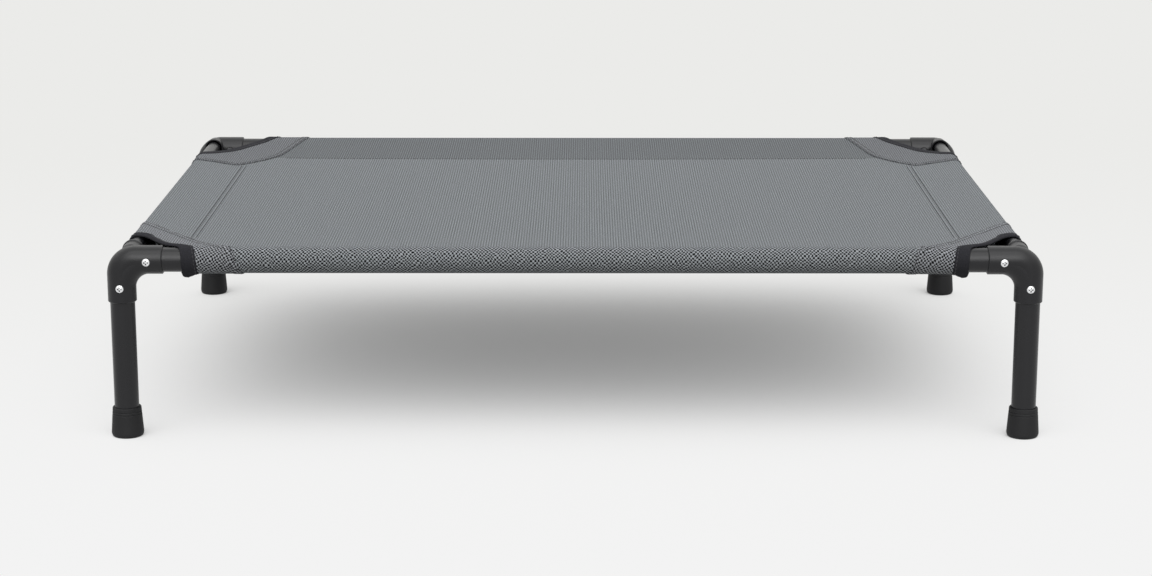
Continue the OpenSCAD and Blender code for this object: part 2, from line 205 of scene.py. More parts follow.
class StageSettings(bpy.types.PropertyGroup):
    """Camera, floor and light"""

    camera_back: length_property("Camera distance", "Distance of the camera in front of the origin", 2843)
    camera_side: length_property("Camera side", "How far the camera stands to the right of the middle", 9.4)
    camera_up: length_property("Camera height", "Height of the camera above the floor", 757)
    camera_tilt: angle_property("Camera tilt", "Angle of the camera below level", 13.38)
    lens: bpy.props.FloatProperty(
        name="Lens", description="Focal length on a 36 mm wide sensor", unit="CAMERA", default=80
    )
    floor_near: colour_property(
        "Near floor", "Colour of the floor in front, as the camera sees it", "#F3F3F3"
    )
    floor: colour_property("Far floor", "Colour of the floor behind, as the camera sees it", "#EBEBE9")
    floor_bounce: colour_property("Floor bounce", "Colour of the light that the floor throws back", "#AEAEAC")
    shade_lift: bpy.props.FloatProperty(
        name="Shade lift", description="Share of the floor's tone that shade can't take away",
        subtype="FACTOR", min=0, max=1, default=0.22,
    )
    fill: strength_property("Fill", "Brightness of the light from all round the studio", 0.31)
    key: strength_property("Key", "Strength of the soft light in front of and over the cot", 1.3)
    key_softness: angle_property("Key softness", "Angle that the front light fills", 70)
    key_lean: angle_property("Key lean", "How far the front light leans to the front", 35)
    card: strength_property("Card", "Strength of the low front card, which shows in gloss alone", 0.7)
    card_softness: angle_property("Card softness", "Angle that the front card fills", 46)
    card_lean: angle_property("Card lean", "How far the front card leans to the front", 62)
    sky: strength_property("Sky", "Strength of the wide soft light straight over the cot", 1)
    sky_softness: angle_property("Sky softness", "Angle that the light over the cot fills", 130)


# Cloth on its flat pattern.


def smooth_through(points, count):
    """Cubic curve through points given in mm, at equal steps of its length, in metres. Its slope at a point
    is half the way from the point before it to the point after it."""
    p = np.array(points, float) * MM
    p = np.vstack([2 * p[0] - p[1], p, 2 * p[-1] - p[-2]])
    t = np.linspace(0, len(p) - 3, 60 * len(p))
    i = np.minimum(t.astype(int), len(p) - 4)
    f = (t - i)[:, None]
    a, b, c, d = p[i], p[i + 1], p[i + 2], p[i + 3]
    fine = b + f / 2 * (c - a + f * (2 * a - 5 * b + 4 * c - d + f * (3 * (b - c) + d - a)))
    return even_steps(fine, count)


def run_along(x, y):
    """Length of a path from its start to each of its points: the sum of the steps so far."""
    return np.concatenate([[0], np.cumsum(np.hypot(np.diff(x), np.diff(y)))])


def even_steps(path, count):
    """The same path with its points at equal steps of its length."""
    run = run_along(*path.T)
    at = np.linspace(0, run[-1], count)
    return np.column_stack([np.interp(at, run, path[:, k]) for k in (0, 1)])


def corner_path(table, corner, round_long, round_side, count):
    """A corner's curve, as far as a length round the long rail and a length round the side rail."""
    path = smooth_through(table[corner[0].split("_")[0]], CURVE_POINTS)
    kept = (path[:, 1] > -round_long) & (path[:, 0] > LEG_X - SIDE_X - round_side)
    return even_steps(path[kept], count)


def tape_width(corner, path):
    """Width of the binding tape on each face along a corner's cut edge."""
    at, width = np.array(TAPE_WIDTH[corner[0].split("_")[0]]).T * MM
    return np.interp(path[:, 1], at, width)


def inwards(path):
    """Unit vectors square to a corner's path on the flat pattern, towards the middle of the cloth."""
    along = np.gradient(path, axis=0)
    along /= np.linalg.norm(along, axis=1, keepdims=True)
    return np.column_stack([along[:, 1], -along[:, 0]])


def on_pattern(corner, path):
    """Flat-pattern place of points given from a corner's axes."""
    return corner[1] * (LEG_X - path[..., 0]), corner[2] * (LONG_Y - path[..., 1])


def wrap_radius(tube):
    """Radius of the middle of the mesh round a tube of a given radius."""
    sling = bpy.context.scene.cot_sling
    return tube + sling.tube_gap + sling.thickness / 2


def sleeve_fold(tube, hem):
    """How far a sleeve turns round its tube, as an angle from the top, and the length from there to its seam.
    The lower layer leaves the tube on the tangent that meets the seam just under the panel."""
    r = wrap_radius(tube)
    seam = (hem, r - 1.2 * bpy.context.scene.cot_sling.thickness)
    away = math.hypot(*seam)
    touch = math.atan2(seam[1], seam[0]) - math.acos(r / away)
    return 1.5 * math.pi + touch, math.sqrt(away**2 - r**2)


def flap_length(tube, hem):
    """Length of cloth from a rail's axis round its tube to the seam."""
    fold, straight = sleeve_fold(tube, hem)
    return wrap_radius(tube) * fold + straight


def drape(flat_x, flat_y, lift):
    """Lays points of the flat pattern over the rails, lift above the middle of the mesh.
    Between the rails' axes the cloth is level, less a sag that is a product of two parabolas. Past an axis
    the length becomes an arc round that rail, up to the fold, and then a straight line up to the seam.
    Under the bound end of each long sleeve the slack cloth hangs down in a half ellipse."""
    sling = bpy.context.scene.cot_sling
    side_r, long_r = wrap_radius(SIDE_R), wrap_radius(LONG_R)
    over_x = np.maximum(np.abs(flat_x) - SIDE_X, 0)
    over_y = np.maximum(np.abs(flat_y) - LONG_Y, 0)
    fold_x = sleeve_fold(SIDE_R, sling.side_hem)[0]
    fold_y = np.where(
        flat_y < 0, sleeve_fold(LONG_R, sling.front_hem)[0], sleeve_fold(LONG_R, sling.rear_hem)[0]
    )
    turn_x = np.minimum(over_x / side_r, fold_x)
    turn_y = np.minimum(over_y / long_r, fold_y)
    rest_x = np.maximum(over_x - side_r * fold_x, 0)
    rest_y = np.maximum(over_y - long_r * fold_y, 0)
    x = np.sign(flat_x) * (
        np.minimum(np.abs(flat_x), SIDE_X) + (side_r + lift) * np.sin(turn_x) + rest_x * np.cos(turn_x)
    )
    y = np.sign(flat_y) * (
        np.minimum(np.abs(flat_y), LONG_Y) + (long_r + lift) * np.sin(turn_y) + rest_y * np.cos(turn_y)
    )
    down_x = (side_r + lift) * (1 - np.cos(turn_x)) + rest_x * np.sin(turn_x)
    down_y = (long_r + lift) * (1 - np.cos(turn_y)) + rest_y * np.sin(turn_y)
    z = RAIL_Z + long_r + lift - down_x - down_y
    z = z - sling.sag * np.maximum(1 - (x / SIDE_X) ** 2, 0) * np.maximum(1 - (y / LONG_Y) ** 2, 0)
    mouth = np.where(flat_y < 0, MOUTH_FRONT, MOUTH_REAR)
    across = (LEG_X - np.abs(flat_x) - mouth) / MOUTH_HALF
    hang = np.clip((over_y - HANG_FROM) / HANG_GROWS, 0, 1) * np.clip((HANG_TO - over_y) / HANG_FADES, 0, 1)
    z = z - sling.mouth_drop * hang**2 * (3 - 2 * hang) * np.sqrt(np.maximum(1 - across**2, 0))
    return np.stack([x, y, z], axis=-1)


# Meshes.


def grid_faces(rows, columns, closed=False):
    """Quads of a grid of vertices numbered row by row; closed joins the last column to the first."""
    i = np.arange(rows - 1)[:, None] * columns
    j = np.arange(columns if closed else columns - 1)[None, :]
    k = (j + 1) % columns
    return np.stack([i + j, i + k, i + columns + k, i + columns + j], axis=-1).reshape(-1, 4)


def upwards(vertices, faces):
    """A sheet's faces, turned over if they look down on the whole."""
    a, b, c, d = (vertices.reshape(-1, 3)[faces[:, k]] for k in range(4))
    return faces if np.cross(c - a, d - b)[:, 2].sum() > 0 else faces[:, ::-1]


def new_piece(name, vertices, faces, material, uv=None):
    """Smooth-shaded mesh object in the frame's own place, with an optional UV map of its flat pattern.
    The faces are a list of arrays, one for each number of corners."""
    mesh = bpy.data.meshes.new(name)
    polygons = [face for group in faces for face in group.tolist()]
    mesh.from_pydata(vertices.reshape(-1, 3).tolist(), [], polygons)
    mesh.polygons.foreach_set("use_smooth", np.ones(len(polygons), bool))
    if uv is not None:
        corners = np.empty(len(mesh.loops), np.int32)
        mesh.loops.foreach_get("vertex_index", corners)
        layer = mesh.uv_layers.new(name="FlatPattern")
        layer.data.foreach_set("uv", np.asarray(uv, np.float32).reshape(-1, 2)[corners].ravel())
    mesh.materials.append(material)
    mesh.update()
    piece = bpy.data.objects.new(name, mesh)
    bpy.context.scene.collection.objects.link(piece)
    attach(piece, "root")
    return piece


def thicken(piece, thickness):
    """Gives a sheet its thickness, half to each side."""
    wall = piece.modifiers.new("Thickness", "SOLIDIFY")
    wall.thickness = thickness
    wall.offset = 0


# Materials.


def add(tree, kind, sockets=None, **settings):
    """Adds one node. Each socket is given a value, or an output that is linked to it."""
    made = tree.nodes.new(kind)
    for name, value in settings.items():
        setattr(made, name, value)
    for key, value in (sockets or {}).items():
        if isinstance(value, bpy.types.NodeSocket):
            tree.links.new(value, made.inputs[key])
        else:
            made.inputs[key].default_value = value
    return made


def surface(name, sockets):
    """New material with its Principled shader's sockets set; gives the material, its nodes and the shader."""
    material = bpy.data.materials.new(name)
    material.use_nodes = True
    shader = material.node_tree.nodes["Principled BSDF"]
    for key, value in sockets.items():
        shader.inputs[key].default_value = value
    return material, material.node_tree, shader


def opaque(rgb):
    """Colour with a full alpha, as a shader's socket takes it."""
    return (*rgb, 1)


def woven_mesh(name, yarn, gap, pitch, turn, double_from, double_tone):
    """Plain weave of coated polyester yarn, heat-set in the sheet: matt grey bumps in a chequered order with
    holes between them painted dark, as painted shade for what is seen through them, and faint streaks along
    the warp.
    The height is the product of two cosines of the flat pattern. turn is the weave's angle on the pattern.
    Past double_from along the pattern the cloth lies double, and its tone is double_tone of the rest."""
    # Shares: how far the holes close on the flat, how sharp a yarn's edge is, how strong the warp lines are,
    # and the tone over a tube, darker for the black tube behind the weave and as painted shade on the wraps.
    closing, edge, streaking, over_tube_shaded = 0.27, 0.35, 0.62, 0.86
    material, tree, shader = surface(name, {"Roughness": 0.8, "IOR": 1.2})
    place = add(tree, "ShaderNodeUVMap", uv_map="FlatPattern").outputs["UV"]
    flat_place = add(tree, "ShaderNodeSeparateXYZ", {0: place}).outputs
    # The flat of the sling, as against the wraps, darkened by the black tube behind the weave and painted
    # shade.
    away = add(tree, "ShaderNodeMath", {0: flat_place["Y"]}, operation="ABSOLUTE").outputs[0]
    flat = add(
        tree, "ShaderNodeMapRange", {"Value": away, "From Min": LONG_Y + 6 * MM, "From Max": LONG_Y - 4 * MM}
    ).outputs[0]
    # The yarns wander up to about a millimetre from a true chequer, in waves of 8 mm.
    noise = add(
        tree, "ShaderNodeTexNoise", {"Vector": place, "Scale": 1 / (8 * MM), "Detail": 1}
    ).outputs["Color"]
    wander = add(
        tree, "ShaderNodeVectorMath", {0: noise, 1: (4 * MM,) * 3, 2: place}, operation="MULTIPLY_ADD"
    ).outputs[0]
    turned = add(
        tree, "ShaderNodeVectorRotate", {"Vector": wander, "Angle": turn}, rotation_type="Z_AXIS"
    ).outputs[0]
    phase = add(
        tree, "ShaderNodeVectorMath", {0: turned, 1: (2 * math.pi / pitch,) * 3}, operation="MULTIPLY"
    ).outputs[0]
    crests = add(tree, "ShaderNodeVectorMath", {0: phase}, operation="COSINE").outputs[0]
    crest = add(tree, "ShaderNodeSeparateXYZ", {0: crests}).outputs
    height = add(tree, "ShaderNodeMath", {0: crest["X"], 1: crest["Y"]}, operation="MULTIPLY").outputs[0]
    # On the flat the holes close up a little, because the sling is pulled tight there.
    least = add(tree, "ShaderNodeMath", {0: flat, 1: closing}, operation="MULTIPLY").outputs[0]
    most = add(tree, "ShaderNodeMath", {0: 1, 1: least}, operation="SUBTRACT").outputs[0]
    covered = add(
        tree, "ShaderNodeMapRange",
        {"Value": height, "From Min": -edge, "From Max": edge, "To Min": least, "To Max": most},
        interpolation_type="SMOOTHSTEP",
    ).outputs[0]
    # The holes take the gap colour: painted shade for what is seen through them.
    weave = add(
        tree, "ShaderNodeMix", {0: covered, 6: opaque(gap), 7: opaque(yarn)}, data_type="RGBA"
    ).outputs[2]
    # Lighter warp lines 2.7 mm apart, coarser than real ones so that they show. They come and go in stretches
    # 11 mm wide and 83 mm long, which is 90 and 12 to the metre.
    warp = add(
        tree, "ShaderNodeMath", {0: flat_place["X"], 1: 2 * math.pi / (2.7 * MM)}, operation="MULTIPLY"
    ).outputs[0]
    warp_crest = add(tree, "ShaderNodeMath", {0: warp}, operation="COSINE").outputs[0]
    threads = add(tree, "ShaderNodeVectorMath", {0: place, 1: (90, 12, 1)}, operation="MULTIPLY").outputs[0]
    stretches = add(tree, "ShaderNodeTexNoise", {"Vector": threads, "Scale": 1, "Detail": 2}).outputs[0]
    lines = add(tree, "ShaderNodeMath", {0: warp_crest, 1: stretches}, operation="MULTIPLY").outputs[0]
    depth = add(tree, "ShaderNodeMath", {0: flat, 1: streaking}, operation="MULTIPLY").outputs[0]
    # Over a tube the tone drops, partly for the black tube behind the weave and partly as painted shade on
    # the wraps.
    tube_and_painted_shade = add(tree, "ShaderNodeMapRange", {"Value": flat, "To Min": over_tube_shaded, "To Max": 1}).outputs[0]
    streak = add(tree, "ShaderNodeMath", {0: lines, 1: depth, 2: tube_and_painted_shade}, operation="MULTIPLY_ADD").outputs[0]
    double = add(
        tree, "ShaderNodeMapRange",
        {"Value": flat_place["Y"], "From Min": double_from, "From Max": double_from + 2 * MM,
         "To Min": 1, "To Max": double_tone},
    ).outputs[0]
    tone = add(tree, "ShaderNodeMath", {0: streak, 1: double}, operation="MULTIPLY").outputs[0]
    toned = add(tree, "ShaderNodeVectorMath", {0: weave, "Scale": tone}, operation="SCALE").outputs[0]
    tree.links.new(toned, shader.inputs["Base Color"])
    bump = add(tree, "ShaderNodeBump", {"Height": height, "Strength": 1, "Distance": 0.45 * MM})
    tree.links.new(bump.outputs[0], shader.inputs["Normal"])
    return material


def grosgrain_tape(colour):
    """Woven polyester tape with close ribs across it: dull black with hardly any sheen, lighter where the
    fibres catch the light. The ribs are 1 mm apart, about twice as coarse as on the real tape, so that they
    show, and so are the fibres, 0.9 to the millimetre."""
    material, tree, shader = surface("woven polyester tape", {"Roughness": 0.95, "IOR": 1.2})
    place = add(tree, "ShaderNodeUVMap", uv_map="FlatPattern").outputs["UV"]
    along = add(tree, "ShaderNodeSeparateXYZ", {0: place}).outputs["X"]
    phase = add(
        tree, "ShaderNodeMath", {0: along, 1: 2 * math.pi / (1 * MM)}, operation="MULTIPLY"
    ).outputs[0]
    ribs = add(tree, "ShaderNodeMath", {0: phase}, operation="SINE").outputs[0]
    fibres = add(tree, "ShaderNodeTexNoise", {"Vector": place, "Scale": 0.9 / MM, "Detail": 3}).outputs[0]
    lit = add(
        tree, "ShaderNodeMapRange",
        {"Value": fibres, "From Min": 0.3, "From Max": 0.7, "To Min": 0.75, "To Max": 1.3},
    ).outputs[0]
    toned = add(tree, "ShaderNodeVectorMath", {0: colour, "Scale": lit}, operation="SCALE").outputs[0]
    tree.links.new(toned, shader.inputs["Base Color"])
    bump = add(tree, "ShaderNodeBump", {"Height": ribs, "Strength": 0.5, "Distance": 0.15 * MM})
    tree.links.new(bump.outputs[0], shader.inputs["Normal"])
    return material


def sewing_thread(tone, colour):
    """Twisted polyester thread: dull with a thin sheen, lighter where the fibres catch the light. The fibres
    are 1.5 to the millimetre, much coarser than real ones, so that they show."""
    material, tree, shader = surface(f"twisted {tone} polyester thread", {"Roughness": 0.55, "IOR": 1.5})
    place = add(tree, "ShaderNodeTexCoord").outputs["Object"]
    fibres = add(tree, "ShaderNodeTexNoise", {"Vector": place, "Scale": 1.5 / MM, "Detail": 2}).outputs[0]
    lit = add(tree, "ShaderNodeMapRange", {"Value": fibres, "To Min": 0.7, "To Max": 1.3}).outputs[0]
    toned = add(tree, "ShaderNodeVectorMath", {0: colour, "Scale": lit}, operation="SCALE").outputs[0]
    tree.links.new(toned, shader.inputs["Base Color"])
    return material


def coated_solid(name, colour, sockets, grain, depth, mottle):
    """Dark solid with a fine relief from how it was coated or moulded.
    grain is the size of the relief's bumps, drawn coarser where the real one is too fine to show, depth is
    their height, and mottle is how far the tone varies, in clouds of 30 mm. The gloss varies with them."""
    material, tree, shader = surface(name, sockets)
    place = add(tree, "ShaderNodeTexCoord").outputs["Object"]
    relief = add(tree, "ShaderNodeTexNoise", {"Vector": place, "Scale": 1 / grain, "Detail": 2}).outputs[0]
    clouds = add(
        tree, "ShaderNodeTexNoise", {"Vector": place, "Scale": 1 / (30 * MM), "Detail": 3}
    ).outputs[0]
    lit = add(
        tree, "ShaderNodeMapRange", {"Value": clouds, "To Min": 1 - mottle, "To Max": 1 + mottle}
    ).outputs[0]
    toned = add(tree, "ShaderNodeVectorMath", {0: colour, "Scale": lit}, operation="SCALE").outputs[0]
    tree.links.new(toned, shader.inputs["Base Color"])
    rough, wear = sockets["Roughness"], 0.08
    worn = add(
        tree, "ShaderNodeMapRange", {"Value": clouds, "To Min": rough - wear, "To Max": rough + wear}
    ).outputs[0]
    tree.links.new(worn, shader.inputs["Roughness"])
    bump = add(tree, "ShaderNodeBump", {"Height": relief, "Strength": 0.6, "Distance": depth})
    tree.links.new(bump.outputs[0], shader.inputs["Normal"])
    return material


def zinc_plate(colour):
    """Zinc plate on steel: bright and a little cloudy from the bath, with soft reflections.
    The cross recess is painted darker as painted shade: the plate's colour is dark where it has walls close
    round it."""
    material, tree, shader = surface("zinc-plated steel", {"Roughness": 0.34, "Metallic": 1})
    place = add(tree, "ShaderNodeTexCoord").outputs["Object"]
    clouds = add(tree, "ShaderNodeTexNoise", {"Vector": place, "Scale": 1 / (2 * MM), "Detail": 3}).outputs[0]
    lit = add(tree, "ShaderNodeMapRange", {"Value": clouds, "To Min": 0.9, "To Max": 1.08}).outputs[0]
    # Painted shade: where ambient occlusion finds walls close by, as in the cross recess, the colour is
    # darkened.
    recess_openness = add(tree, "ShaderNodeAmbientOcclusion", {"Distance": 1.6 * MM}, only_local=True).outputs["AO"]
    painted_recess_shade = add(
        tree, "ShaderNodeMapRange", {"Value": recess_openness, "From Min": 0.45, "From Max": 0.85, "To Min": 0.04}
    ).outputs[0]
    tone = add(tree, "ShaderNodeMath", {0: lit, 1: painted_recess_shade}, operation="MULTIPLY").outputs[0]
    toned = add(tree, "ShaderNodeVectorMath", {0: colour, "Scale": tone}, operation="SCALE").outputs[0]
    tree.links.new(toned, shader.inputs["Base Color"])
    return material


def seen_by_eye(tree):
    """1 on a ray from the camera, straight or by way of gloss or glass, and 0 on light between surfaces."""
    path = add(tree, "ShaderNodeLightPath").outputs
    glass = add(
        tree, "ShaderNodeMath", {0: path["Is Glossy Ray"], 1: path["Is Transmission Ray"]}
    ).outputs[0]
    return add(tree, "ShaderNodeMath", {0: path["Is Camera Ray"], 1: glass}, use_clamp=True).outputs[0]


def dress(prefix, material):
    """Gives a material to every shown node whose name starts with one of the prefixes."""
    dressed = [node for name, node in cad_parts.items() if name.startswith(prefix)]
    if not dressed:
        raise RuntimeError(f"the frame has no node named {prefix}")
    for node in dressed:
        node.material_slots[0].material = material


# Pieces.


class COT_OT_tubes(bpy.types.Operator):
    """Powder-coats the rails and the legs"""

    bl_idname = "cot.tubes"
    bl_label = "Tubes"

    def execute(self, context):
        # Powder-coated steel tube: sprayed and baked, a half-matt black skin with a faint orange peel.
        finish = coated_solid(
            "powder-coated steel tube", context.scene.cot_frame.steel,
            {"Roughness": 0.28, "IOR": 1.43}, 1.6 * MM, 0.05 * MM, 0.12,
        )
        dress(("front_rail", "rear_rail", "left_rail", "right_rail", "leg_"), finish)
        return {"FINISHED"}


class COT_OT_elbows(bpy.types.Operator):
    """Finishes the corner elbows"""

    bl_idname = "cot.elbows"
    bl_label = "Elbows"

    def execute(self, context):
        # Injection-moulded polypropylene: a spark-eroded mould leaves an even fine grain and a soft gloss.
        finish = coated_solid(
            "moulded polypropylene", context.scene.cot_frame.plastic,
            {"Roughness": 0.32, "IOR": 1.42}, 0.7 * MM, 0.06 * MM, 0.1,
        )
        dress(("elbow_",), finish)
        return {"FINISHED"}


class COT_OT_feet(bpy.types.Operator):
    """Finishes the rubber feet"""

    bl_idname = "cot.feet"
    bl_label = "Feet"

    def execute(self, context):
        # Moulded rubber: dull, slightly dusty black with a soft edge to its highlights.
        finish = coated_solid(
            "moulded rubber", context.scene.cot_frame.rubber,
            {"Roughness": 0.68, "IOR": 1.42}, 0.9 * MM, 0.05 * MM, 0.18,
        )
        dress(("foot_",), finish)
        return {"FINISHED"}


class COT_OT_fasteners(bpy.types.Operator):
    """Plates the screws and the nuts"""

    bl_idname = "cot.fasteners"
    bl_label = "Fasteners"

    def execute(self, context):
        # Blackened steel: dipped in hot salts and oiled, a deep grey with a dull gloss.
        black = coated_solid(
            "blackened steel", context.scene.cot_frame.nut,
            {"Roughness": 0.36, "IOR": 1.5}, 1.2 * MM, 0.02 * MM, 0.1,
        )
        dress(("screws_",), zinc_plate(context.scene.cot_frame.zinc))
        dress(("nuts_",), black)
        return {"FINISHED"}


class COT_OT_sling(bpy.types.Operator):
    """Lays the woven sling over the rails, with a sleeve round each of them"""

    bl_idname = "cot.sling"
    bl_label = "Sling"

    def execute(self, context):
        sling = context.scene.cot_sling
        sleeves = {
            "front": (LONG_R, sling.front_hem),
            "rear": (LONG_R, sling.rear_hem),
            "side": (SIDE_R, sling.side_hem),
        }
        turn = {side: wrap_radius(tube) * sleeve_fold(tube, hem)[0] for side, (tube, hem) in sleeves.items()}
        end = {side: flap_length(tube, hem) for side, (tube, hem) in sleeves.items()}
        # Rows along the pattern: close together round the rails and beside the cut edges, which end within
        # corner of a long rail's axis.
        corner = 116 * MM
        rows = np.concatenate([
            np.linspace(-LONG_Y - end["front"], -LONG_Y - turn["front"], 18, endpoint=False),
            np.linspace(-LONG_Y - turn["front"], -LONG_Y, 24, endpoint=False),
            np.linspace(-LONG_Y, corner - LONG_Y, 38, endpoint=False),
            np.linspace(corner - LONG_Y, LONG_Y - corner, 44, endpoint=False),
            np.linspace(LONG_Y - corner, LONG_Y, 38, endpoint=False),
            np.linspace(LONG_Y, LONG_Y + turn["rear"], 24, endpoint=False),
            np.linspace(LONG_Y + turn["rear"], LONG_Y + end["rear"], 18),
        ])
        # Each row ends at the cut edge, or at the seam under the side sleeve where nothing is cut away.
        half = np.full(len(rows), SIDE_X + end["side"])
        for name, inset in (("front", LONG_Y + rows), ("rear", LONG_Y - rows)):
            edge = smooth_through(CUT_EDGE[name], CURVE_POINTS)
            half = np.minimum(half, LEG_X - np.interp(inset, edge[:, 1], edge[:, 0]))
        # Columns to the right of the middle: even on the panel, at each side of the two seam rows, and then
        # round the side rail. A row that is cut short has the same columns up to inner and the others closer
        # together, with at least a tenth of what is left of the row for those past outer.
        seams = SIDE_X - sling.side_hem - np.array([0, context.scene.cot_stitch.row_gap])
        beside = np.array([-2.4, -1.6, -0.8, 0, 0.8, 1.6, 2.4]) * MM
        margin = 4 * MM
        inner, outer = 0.31, SIDE_X - sling.side_hem + margin
        near = np.concatenate([
            np.linspace(0, inner, 39),
            np.linspace(inner, seams[1] - margin, 9)[1:],
            (seams[::-1, None] + beside).ravel(),
        ])
        far = np.concatenate([
            np.linspace(outer, SIDE_X, 7, endpoint=False),
            np.linspace(SIDE_X, SIDE_X + turn["side"], 24, endpoint=False),
            np.linspace(SIDE_X + turn["side"], SIDE_X + end["side"], 17),
        ])
        knee = np.minimum(outer, inner + 0.9 * (half - inner))[:, None]
        squeezed = inner + (near - inner) * (knee - inner) / (outer - inner)
        right = np.hstack([
            np.where(near < inner, near, squeezed),
            knee + (far - outer) * (half[:, None] - knee) / (SIDE_X + end["side"] - outer),
        ])
        flat_x = np.hstack([-right[:, :0:-1], right])
        flat_y = np.broadcast_to(rows[:, None], flat_x.shape)
        # The side seams draw the cloth down along their rows, in grooves that follow a bell curve.
        groove_width, groove_depth = 1.3 * MM, 0.9 * MM
        drawn = sum(np.exp(-(((np.abs(flat_x) - seam) / groove_width) ** 2)) for seam in seams)
        sewn = (flat_y > SIDE_SEAM_FRONT - LONG_Y) & (flat_y < LONG_Y - SIDE_SEAM_REAR)
        vertices = drape(flat_x, flat_y, -groove_depth * drawn * sewn)
        faces = upwards(vertices, grid_faces(*flat_x.shape))
        cloth = woven_mesh(
            "woven coated mesh", sling.yarn, sling.gap, sling.weave,
            turn=0, double_from=LONG_Y - sling.rear_hem, double_tone=0.76,
        )
        piece = new_piece("sling_cloth", vertices, [faces], cloth, np.dstack([flat_x, flat_y]))
        thicken(piece, sling.thickness)
        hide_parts("sling")
        return {"FINISHED"}


class COT_OT_patches(bpy.types.Operator):
    """Sews a patch beside each cut corner"""

    bl_idname = "cot.patches"
    bl_label = "Corner patches"

    def execute(self, context):
        sling, corners = context.scene.cot_sling, context.scene.cot_corners
        # The rear patches lie on the doubled cloth of the rear sleeve, so the rear half's tone is darker.
        cloth = woven_mesh(
            "woven coated mesh on the bias", corners.patch_yarn, sling.gap, sling.weave,
            turn=math.radians(12), double_from=0, double_tone=0.84,
        )
        gap = 0.1 * MM
        base = (sling.thickness + corners.patch_thickness) / 2 + gap
        hem_rise, hem_slope, edge_drop = 0.4 * MM, 1 * MM, 0.2 * MM
        groove_width, groove_depth = 0.7 * MM, 0.5 * MM
        steps = 120
        near = np.array([0, 0.8, 1.4, 2, 2.6, 3.2, 4.4, 5.6, 6.4, 7, 7.6, 8.4, 9.4, 11]) * MM
        far = np.linspace(0, 1, 26)[1:]
        for corner in CORNERS:
            inner = corner_path(CUT_EDGE, corner, *PATCH_ROUND, steps)
            outer = corner_path(PATCH_SEAM, corner, *PATCH_ROUND, steps)
            across = np.linalg.norm(inner - outer, axis=1)[:, None]
            # Columns run from the seam to the cut edge: the first lie at set distances from the seam.
            from_seam = np.hstack([
                np.broadcast_to(near, (steps, len(near))), near[-1] + far * (across - near[-1])
            ])
            path = outer[:, None] + (from_seam / across)[..., None] * (inner - outer)[:, None]
            # The turned-in hem stands higher, its edge is rounded off, and two rows of stitches draw it down.
            hem = np.clip((corners.turned_hem - from_seam) / hem_slope, 0, 1) * hem_rise
            drawn = sum(np.exp(-(((from_seam - at) / groove_width) ** 2)) for at in PATCH_ROWS)
            lift = base + hem - groove_depth * drawn - edge_drop * (from_seam == 0)
            flat_x, flat_y = on_pattern(corner, path)
            vertices = drape(flat_x, flat_y, lift)
            faces = upwards(vertices, grid_faces(*flat_x.shape))
            uv = np.dstack([flat_x, flat_y])
            piece = new_piece(f"corner_patch_{corner[0]}", vertices, [faces], cloth, uv)
            thicken(piece, corners.patch_thickness)
            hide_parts(f"patch_{corner[0]}")
        return {"FINISHED"}


class COT_OT_binding(bpy.types.Operator):
    """Folds a tape over the cut edge of each corner"""

    bl_idname = "cot.binding"
    bl_label = "Edge binding"

    def execute(self, context):
        cloth = grosgrain_tape(context.scene.cot_corners.tape)
        # Cross-section of the folded tape: the way in from the cut edge as a share of the width and a rest in
        # mm, and the lift in mm.
        share, rest, lift = np.array([
            (1, 0, 1.2), (1, 0.15, 1.45), (1, 0, 1.7), (1, -1.2, 1.8), (0.3, 0, 1.85), (0, 0.6, 1.75),
            (0, -0.6, 1.4), (0, -1.2, 0.8), (0, -1.2, 0.2), (0, -0.7, -0.4), (0, 0.4, -0.66), (0.3, 0, -0.7),
            (1, 0, -0.68), (1, 0, -0.45), (0.3, 0, -0.44), (0, 0.6, -0.42), (0, 0.1, 0.2), (0, 0.1, 0.7),
            (0, 0.6, 1.15), (0.3, 0, 1.2),
        ]).T
        steps = 180
        # Cloth in the fold round the cut edge.
        for corner in CORNERS:
            path = corner_path(CUT_EDGE, corner, *TAPE_ROUND, steps)
            square = inwards(path)
            inset = share * tape_width(corner, path)[:, None] + rest * MM
            place = path[:, None] + inset[..., None] * square[:, None]
            flat_x, flat_y = on_pattern(corner, place)
            vertices = drape(flat_x, flat_y, lift * MM)
            rows, columns = flat_x.shape
            faces = grid_faces(rows, columns, closed=True)
            ends = np.array([np.arange(columns)[::-1], (rows - 1) * columns + np.arange(columns)])
            if corner[1] * corner[2] > 0:
                faces, ends = faces[:, ::-1], ends[:, ::-1]
            run = run_along(*path.T)
            uv = np.dstack(np.broadcast_arrays(run[:, None], inset))
            piece = new_piece(f"edge_binding_{corner[0]}", vertices, [faces, ends], cloth, uv)
            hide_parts(f"binding_{corner[0]}")
        return {"FINISHED"}


